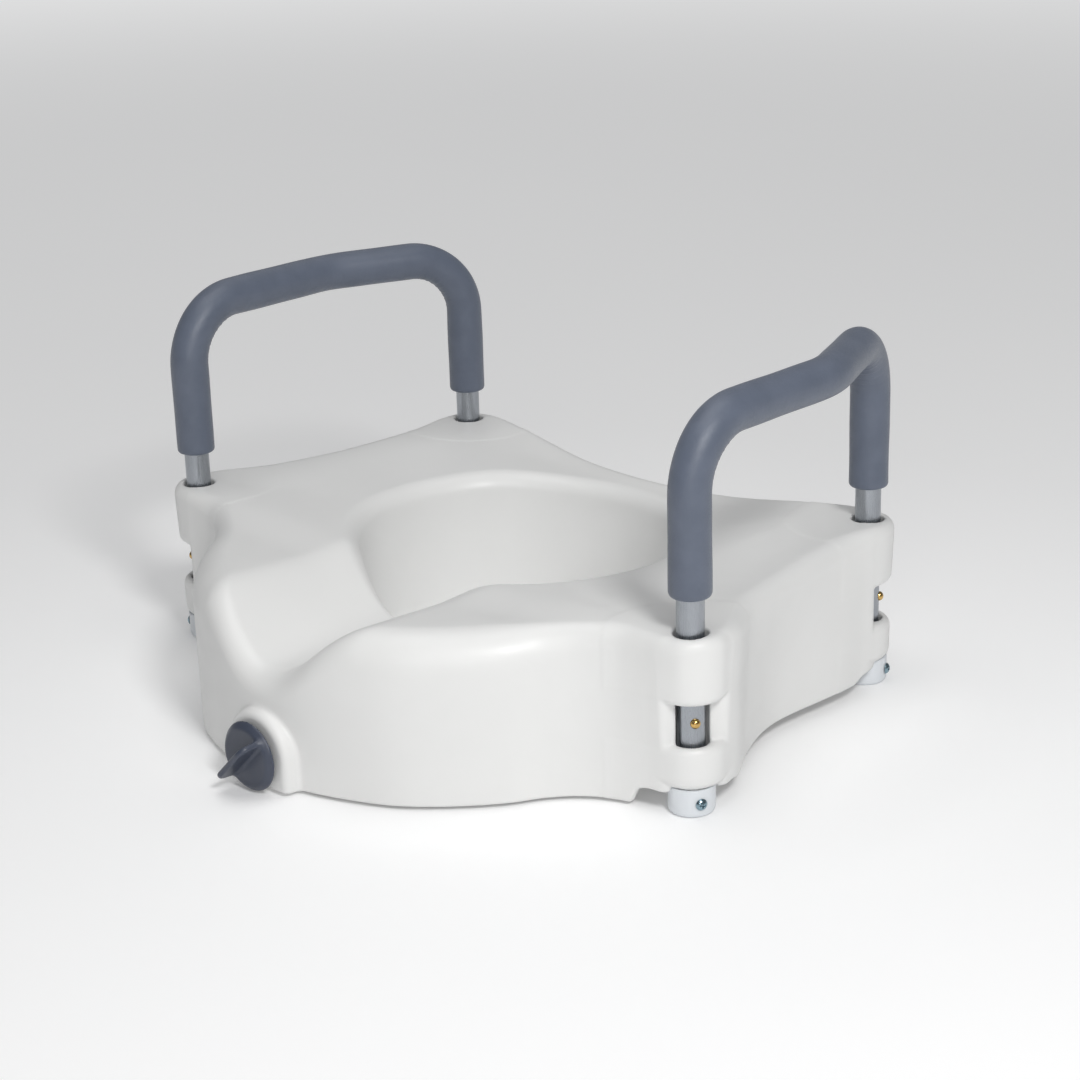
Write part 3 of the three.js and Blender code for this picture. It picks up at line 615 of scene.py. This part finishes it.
def snap_button(end, side, name):
    r, reach = BUTTON_R, BUTTON_REACH
    quarter = np.linspace(0, math.pi / 2, 12)[:-1]
    dome = [(r * math.cos(a), reach - 3.1 + 3.1 * math.sin(a)) for a in quarter]
    profile = [(0, 6.6), (r - 0.5, 6.6), (r, 7.1), (r, reach - 3.6), *dome, (0, reach)]
    points, faces = turned(profile, 36)
    return mesh_object(name, on_spoke(points, end, side, FACING[end], BUTTON_Z), faces)


def socket_cap(end, side, name):
    plug = SOCKET_R - GAP
    profile = [(0, 0), (CAP_R, 0), (CAP_R, CAP_TOP), (CAP_GROOVE, CAP_TOP), (CAP_GROOVE, CAP_FLOOR),
               (plug, CAP_FLOOR), (plug, CAP_PLUG_TOP), (0, CAP_PLUG_TOP)]
    profile = rounded(profile, [4.4, 0.8, 0.5, 0.3, 0.3, 0.6], 6)
    points, faces = turned(profile, 64)
    piece = mesh_object(name, points + (LEG[end][0] * side, LEG[end][1], 0), faces)
    sharp_by_angle(piece, 50)
    return piece


def cap_screw(end, side, name):
    seat = CAP_R + GAP
    step = 0.16
    half = SCREW_HEAD_R + 0.6
    xs = np.arange(-half, half + step, step)
    zs = np.arange(seat - 3, seat + SCREW_HEAD_H + 0.6, step)
    x, y, z = np.meshgrid(xs, xs, zs, indexing="ij")
    ball = np.sqrt(x**2 + y**2 + (z - seat + 2.2) ** 2) - math.hypot(SCREW_HEAD_R, 2.2)
    head = both(both(ball, seat - z, 0.3), np.hypot(x, y) - SCREW_HEAD_R, 0.4)
    arm = lambda p, q: np.maximum(np.abs(p) - 0.55, np.abs(q) - 2.1)
    cross = np.minimum(arm(x, y), arm(y, x))
    depth = seat + 0.6 + 0.35 * np.hypot(x, y) - z
    head = both(head, -np.maximum(cross, depth), 0.15)
    shank = np.maximum(np.hypot(x, y) - SCREW_R, np.maximum(seat - 2.4 - z, z - seat - 0.5))
    field = np.minimum(head, shank)
    points, quads = net(field)
    points = settle(field, points) * step + (xs[0], xs[0], zs[0])
    return mesh_object(name, on_spoke(points, end, side, SCREW_FACING[end], SCREW_Z), quads)


# ---- front clamp ------------------------------------------------------------------------------
def knob_grid(reach, back, front, step):
    """Sample points round the knob's axis: across, up, and out towards the user."""
    xs = np.arange(-reach, reach + step, step)
    ys = np.arange(KNOB_Y - front, KNOB_Y + back + step, step)
    x, y, z = np.meshgrid(xs, ys, xs + KNOB_Z, indexing="ij")
    return x, z - KNOB_Z, KNOB_Y - y, np.array([xs[0], ys[0], xs[0] + KNOB_Z])


def clamp_knob(name):
    step = 0.6
    hub = BOSS_FRONT - KNOB_Y - GAP
    x, up, out, low = knob_grid(KNOB_R + 1.5, hub + 1.5, KNOB_T + WING + 1.5, step)
    r = np.hypot(x, up)
    disc = both(np.maximum(r - KNOB_R, -out), out - KNOB_T, 0.8)
    disc = both(disc, (r - KNOB_R + out - KNOB_T + KNOB_BEVEL) * math.sqrt(0.5), 1.2)
    disc = np.minimum(disc, np.maximum(r - HUB_R, np.maximum(-out - hub, out - 1)))
    turn = math.radians(WING_TURN)
    along = x * math.cos(turn) + up * math.sin(turn)
    across = -x * math.sin(turn) + up * math.cos(turn)
    rise = out - KNOB_T
    share = np.clip(rise / WING, 0, 1)
    corner = both(np.abs(along) - mix(WING_ROOT, WING_TIP, share), rise - WING, 7.0)
    thick = mix(WING_T / 2, WING_T / 2 - 0.6, share)
    blade = both(np.maximum(corner, -rise - 3), np.abs(across) - thick, 1.8)
    field = either(disc, blade, 2.6)
    field = both(field, np.minimum(WORM_R + GAP - r, KNOB_SOCKET - out), 0.3)
    return from_field(name, field.astype(np.float32), low, step)


def worm_screw(name):
    step = 0.5
    length = WORM_END - KNOB_Y
    head = KNOB_SOCKET - GAP
    x, up, out, low = knob_grid(WORM_CREST + 1.0, length + 1, head + 1.5, step)
    r, s = np.hypot(x, up), -out
    phase = (s / WORM_PITCH - np.arctan2(up, x) / (2 * math.pi)) % 1.0
    crest = np.clip(1.35 - np.abs(phase - 0.5) * 4.2, 0, 1)
    height = mix(WORM_R, WORM_CREST - 0.1, crest)
    threaded = smooth(25, 28, s) * (1 - smooth(length - 5, length - 2, s))
    core = r - mix(WORM_R, height, threaded) + np.maximum(0, s - length + 2) * 0.8
    field = both(core * 0.85, np.maximum(-head - s, s - length), 0.4)
    return from_field(name, field.astype(np.float32), low, step)


def clamp_plate(name):
    """Plate with a foot lip and two ribs, bored for the worm and pocketed for the nut."""
    step = 1.0
    xs, ys, zs = np.arange(-32, 33, step), np.arange(-250, -214, step), np.arange(-1, 50, step)
    x, y, z = np.meshgrid(xs, ys, zs, indexing="ij")

    def block(half, front, back, low, high, r):
        deep = np.abs(y - (front + back) / 2) - (back - front) / 2
        tall = np.abs(z - (low + high) / 2) - (high - low) / 2
        return both(both(np.abs(x) - half, deep, r), tall, r)

    back = PLATE_Y + PLATE_T
    slab = block(PLATE_HALF, PLATE_Y, back, PLATE_FOOT, PLATE_TOP, 1.5)
    lip = block(PLATE_HALF, PLATE_Y, back + PLATE_LIP, PLATE_FOOT, PLATE_FOOT + PLATE_LIP_T, 1.2)
    field = either(slab, lip, 1.5)
    rib_top = PLATE_TOP - 6
    for rib in (-PLATE_RIB_X, PLATE_RIB_X):
        deep = np.abs(y - PLATE_Y + 5.5) - 6.5
        tall = np.abs(z - (PLATE_FOOT + rib_top) / 2) - (rib_top - PLATE_FOOT) / 2
        ridge = both(both(np.abs(x - rib) - PLATE_RIB_T / 2, deep, 0.8), tall, 0.8)
        field = either(field, ridge, 1.2)
    up = z - KNOB_Z
    field = both(field, WORM_CREST + GAP - np.hypot(x, up), 0.3)
    flats = np.maximum(np.abs(x * 0.5 + up * 0.866), np.abs(x * 0.5 - up * 0.866))
    hexagon = np.maximum(np.abs(x), flats) - NUT_HALF
    field = both(field, -np.maximum(hexagon, y - PLATE_Y - NUT_DEPTH), 0.3)
    return from_field(name, field.astype(np.float32), np.array([xs[0], ys[0], zs[0]]), step)


# ---- materials --------------------------------------------------------------------------------
def material(name, colour, roughness, metallic=0.0, **sockets):
    """A Principled material and its node tree."""
    made = bpy.data.materials.new(name)
    made.use_nodes = True
    tree = made.node_tree
    shader = tree.nodes["Principled BSDF"]
    shader.inputs["Base Color"].default_value = (*colour, 1)
    shader.inputs["Roughness"].default_value = roughness
    shader.inputs["Metallic"].default_value = metallic
    for socket, value in sockets.items():
        shader.inputs[socket.replace("_", " ")].default_value = value
    made.diffuse_color = (*colour, 1)
    return made, tree, shader


def noise(tree, scale, detail, stretch=(1, 1, 1)):
    """A noise texture in the frame's own coordinates, scale in cells a metre."""
    where = tree.nodes.new("ShaderNodeTexCoord")
    place = tree.nodes.new("ShaderNodeMapping")
    place.inputs["Scale"].default_value = stretch
    grain = tree.nodes.new("ShaderNodeTexNoise")
    grain.inputs["Scale"].default_value = scale
    grain.inputs["Detail"].default_value = detail
    tree.links.new(where.outputs["Object"], place.inputs["Vector"])
    tree.links.new(place.outputs["Vector"], grain.inputs["Vector"])
    return grain.outputs["Fac"]


def remap(tree, source, low, high, a=0.35, b=0.65):
    """Maps a value between a and b to the range from low to high."""
    node = tree.nodes.new("ShaderNodeMapRange")
    for socket, value in (("From Min", a), ("From Max", b), ("To Min", low), ("To Max", high)):
        node.inputs[socket].default_value = value
    tree.links.new(source, node.inputs["Value"])
    return node.outputs["Result"]


def two_tone(tree, source, first, second):
    """Turns a noise value into a colour between two tones."""
    ramp = tree.nodes.new("ShaderNodeValToRGB")
    for stop, position, tone in zip(ramp.color_ramp.elements, (0.35, 0.65), (first, second)):
        stop.position, stop.color = position, (*tone, 1)
    tree.links.new(source, ramp.inputs["Fac"])
    return ramp.outputs["Color"]


def bumps(tree, shader, layers):
    """Stacks bump layers of (height source, distance in metres, strength)."""
    normal = None
    for height, distance, strength in layers:
        node = tree.nodes.new("ShaderNodeBump")
        node.inputs["Distance"].default_value = distance
        node.inputs["Strength"].default_value = strength
        tree.links.new(height, node.inputs["Height"])
        if normal:
            tree.links.new(normal, node.inputs["Normal"])
        normal = node.outputs["Normal"]
    tree.links.new(normal, shader.inputs["Normal"])


def plastic(name, first, second, rough, grain, peel):
    """Moulded plastic: mottled colour, uneven gloss, fine grain over a slow orange peel."""
    made, tree, shader = material(name, first, rough)
    cloud = noise(tree, 14, 4)
    tree.links.new(two_tone(tree, cloud, first, second), shader.inputs["Base Color"])
    patches = noise(tree, 55, 5)
    tree.links.new(remap(tree, patches, rough - 0.05, rough + 0.06), shader.inputs["Roughness"])
    bumps(tree, shader, [(noise(tree, 110, 2), peel, 0.5), (noise(tree, 1500, 2), grain, 0.5)])
    return made


FOAM_DARK, FOAM_LIGHT = (0.104, 0.124, 0.168), (0.118, 0.139, 0.186)


def foam(name):
    """Closed-cell foam skin: close tones, soft sheen, a pebbled and a fine bump."""
    made, tree, shader = material(name, FOAM_DARK, 0.42, Sheen_Weight=0.08, Sheen_Roughness=0.5)
    cloud = noise(tree, 60, 5)
    tree.links.new(two_tone(tree, cloud, FOAM_DARK, FOAM_LIGHT), shader.inputs["Base Color"])
    tree.links.new(remap(tree, noise(tree, 900, 3), 0.35, 0.48), shader.inputs["Roughness"])
    bumps(tree, shader, [(noise(tree, 240, 3), 0.0003, 0.5), (noise(tree, 2200, 3), 0.00016, 0.7)])
    return made


def metal(name, first, second, rough, stretch, scale):
    """Bare or plated metal: two close tones and drawn lines in its gloss and surface."""
    made, tree, shader = material(name, first, rough, 1.0)
    tree.links.new(two_tone(tree, noise(tree, 40, 4), first, second), shader.inputs["Base Color"])
    lines = noise(tree, scale, 3, stretch)
    tree.links.new(remap(tree, lines, rough - 0.07, rough + 0.08), shader.inputs["Roughness"])
    bumps(tree, shader, [(lines, 0.00002, 0.4)])
    return made


WHITE = plastic("white_shell_finish", (0.80, 0.80, 0.79), (0.785, 0.785, 0.775), 0.42, 0.00003, 0.00012)
CAP_WHITE = plastic("cap_finish", (0.74, 0.77, 0.80), (0.72, 0.75, 0.785), 0.36, 0.00003, 0.00008)
PLATE_WHITE = plastic("plate_finish", (0.76, 0.76, 0.75), (0.73, 0.73, 0.72), 0.45, 0.00004, 0.0001)
KNOB_GREY = plastic("knob_finish", (0.046, 0.056, 0.084), (0.053, 0.063, 0.092), 0.38, 0.00006, 0.00008)
FOAM = foam("grip_foam_finish")
ALUMINIUM = metal("satin_aluminium", (0.38, 0.40, 0.43), (0.35, 0.37, 0.40), 0.27, (1, 1, 0.04), 1800)
BRASS = metal("button_brass_finish", (0.66, 0.44, 0.16), (0.55, 0.34, 0.11), 0.22, (1, 1, 1), 900)
STEEL = metal("spring_steel_finish", (0.46, 0.48, 0.50), (0.40, 0.41, 0.43), 0.32, (1, 1, 0.2), 1200)
ZINC = metal("zinc_finish", (0.30, 0.42, 0.48), (0.22, 0.31, 0.36), 0.24, (1, 1, 1), 700)


def dress(piece, finish):
    """Gives the piece one finish."""
    piece.data.materials.clear()
    piece.data.materials.append(finish)


def stand_in(piece, node, body, finish):
    """The piece takes the place of a CAD node and rides on its body."""
    dress(piece, finish)
    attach(piece, body)
    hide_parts(node)


# ---- the object -------------------------------------------------------------------------------
field, low = seat_field()
seat = from_field("seat_body", field, low, GRID, 190000)
stand_in(seat, "seat_shell", "shell", WHITE)

for side, hand in ((-1, "left"), (1, "right")):
    stand_in(arm_tube(side, f"{hand}_tube"), f"{hand}_arm_tube", f"{hand}_arm", ALUMINIUM)
    grip = foam_grip(side, f"{hand}_grip")
    stand_in(grip, f"{hand}_foam_grip", f"{hand}_arm", FOAM)
    for end in ("front", "rear"):
        leg = f"{hand}_{end}"
        dome = snap_button(end, side, f"{leg}_button_dome")
        stand_in(dome, f"{leg}_snap_button", f"{leg}_button", BRASS)
        cap = socket_cap(end, side, f"{leg}_cap")
        stand_in(cap, f"{leg}_socket_cap", "shell", CAP_WHITE)
        screw = cap_screw(end, side, f"{leg}_screw")
        stand_in(screw, f"{leg}_cap_screw", "shell", ZINC)
        dress(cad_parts[f"{leg}_button_spring"], STEEL)

stand_in(clamp_knob("knob"), "clamp_knob", "knob", KNOB_GREY)
stand_in(worm_screw("worm"), "worm_screw", "knob", ZINC)
stand_in(clamp_plate("plate"), "clamp_plate", "clamp", PLATE_WHITE)
dress(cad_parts["screw_retainer"], STEEL)
dress(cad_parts["clamp_nut"], ZINC)

# ---- floor, light, camera ---------------------------------------------------------------------
FLOOR_HALF, FLOOR_LINES = 12, 24
FLOOR_PALE, FLOOR_PALER = (0.915, 0.915, 0.917), (0.92, 0.92, 0.92)
FLOOR_GLOW_NEAR, FLOOR_GLOW_FAR = 0.10, 0.55               # emission near the object and far from it
GLOW_START, GLOW_END = 0.7, 4.5                            # metres
WORLD_COLOUR, WORLD_STRENGTH = (0.96, 0.975, 1.0), 0.16
LIGHT_AIM = Vector((0, 0, 0.1))
floor_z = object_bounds()[0][2]
floor_mesh = bpy.data.meshes.new("floor")
line = np.linspace(-FLOOR_HALF, FLOOR_HALF, FLOOR_LINES)
floor_mesh.from_pydata([(x, y, floor_z) for x in line for y in line], [],
                       [(i * FLOOR_LINES + j, (i + 1) * FLOOR_LINES + j,
                         (i + 1) * FLOOR_LINES + j + 1, i * FLOOR_LINES + j + 1)
                        for i in range(FLOOR_LINES - 1) for j in range(FLOOR_LINES - 1)])
floor = bpy.data.objects.new("floor", floor_mesh)
bpy.context.scene.collection.objects.link(floor)
floor_finish, tree, shader = material("floor_finish", FLOOR_PALER, 0.9)
tones = two_tone(tree, noise(tree, 3, 2), FLOOR_PALER, FLOOR_PALE)
tree.links.new(tones, shader.inputs["Base Color"])
shader.inputs["Emission Color"].default_value = (1, 1, 1, 1)
place = tree.nodes.new("ShaderNodeTexCoord")
away = tree.nodes.new("ShaderNodeVectorMath")
away.operation = "LENGTH"
tree.links.new(place.outputs["Object"], away.inputs[0])
glow = remap(tree, away.outputs["Value"], FLOOR_GLOW_NEAR, FLOOR_GLOW_FAR, GLOW_START, GLOW_END)
tree.links.new(glow, shader.inputs["Emission Strength"])
dress(floor, floor_finish)

world = bpy.data.worlds.new("studio")
bpy.context.scene.world = world
world.use_nodes = True
world.node_tree.nodes["Background"].inputs["Color"].default_value = (*WORLD_COLOUR, 1)
world.node_tree.nodes["Background"].inputs["Strength"].default_value = WORLD_STRENGTH


def soft_box(name, azimuth, elevation, distance, size, watts, colour=(1, 1, 1)):
    """An area light aimed at the object's middle. Azimuth 0 is in front, 90 to the right."""
    a, e = math.radians(azimuth), math.radians(elevation)
    back = Vector((math.sin(a) * math.cos(e), -math.cos(a) * math.cos(e), math.sin(e)))
    data = bpy.data.lights.new(name, "AREA")
    data.shape, data.size, data.energy, data.color = "DISK", size, watts, colour
    lamp = bpy.data.objects.new(name, data)
    lamp.location = LIGHT_AIM + back * distance
    lamp.rotation_mode = "QUATERNION"
    lamp.rotation_quaternion = back.to_track_quat("Z", "Y")
    bpy.context.scene.collection.objects.link(lamp)


soft_box("key", 65, 42, 2.2, 0.5, 21, (1.0, 0.998, 0.992))
soft_box("top", 0, 88, 2.5, 2.0, 21)
soft_box("front", 43, 20, 2.5, 1.0, 8.3)
soft_box("back", -130, 40, 2.5, 1.5, 1.9)

CAMERA_AZIMUTH, CAMERA_ELEVATION, CAMERA_ROLL = 43.474, 20.516, -1.588
CAMERA_DISTANCE, CAMERA_LENS = 1.8708, 81.116
TARGET = Vector((0, (12.36 + SHIFT_Y) * MM, 62.5 * MM))
a, e, roll = (math.radians(v) for v in (CAMERA_AZIMUTH, CAMERA_ELEVATION, CAMERA_ROLL))
back = Vector((math.sin(a) * math.cos(e), -math.cos(a) * math.cos(e), math.sin(e)))
right = Vector((math.cos(a), math.sin(a), 0))
up = back.cross(right)
turned_right = right * math.cos(roll) + up * math.sin(roll)
turned_up = up * math.cos(roll) - right * math.sin(roll)
data = bpy.data.cameras.new("camera")
data.sensor_width, data.lens = 36.0, CAMERA_LENS
data.shift_x, data.shift_y = -0.01574, 0.03875
camera = bpy.data.objects.new("camera", data)
camera.rotation_mode = "QUATERNION"
camera.location = TARGET + back * CAMERA_DISTANCE
camera.rotation_quaternion = Matrix((turned_right, turned_up, back)).transposed().to_quaternion()
bpy.context.scene.collection.objects.link(camera)
bpy.context.scene.camera = camera
bpy.context.scene.view_settings.view_transform = "Standard"
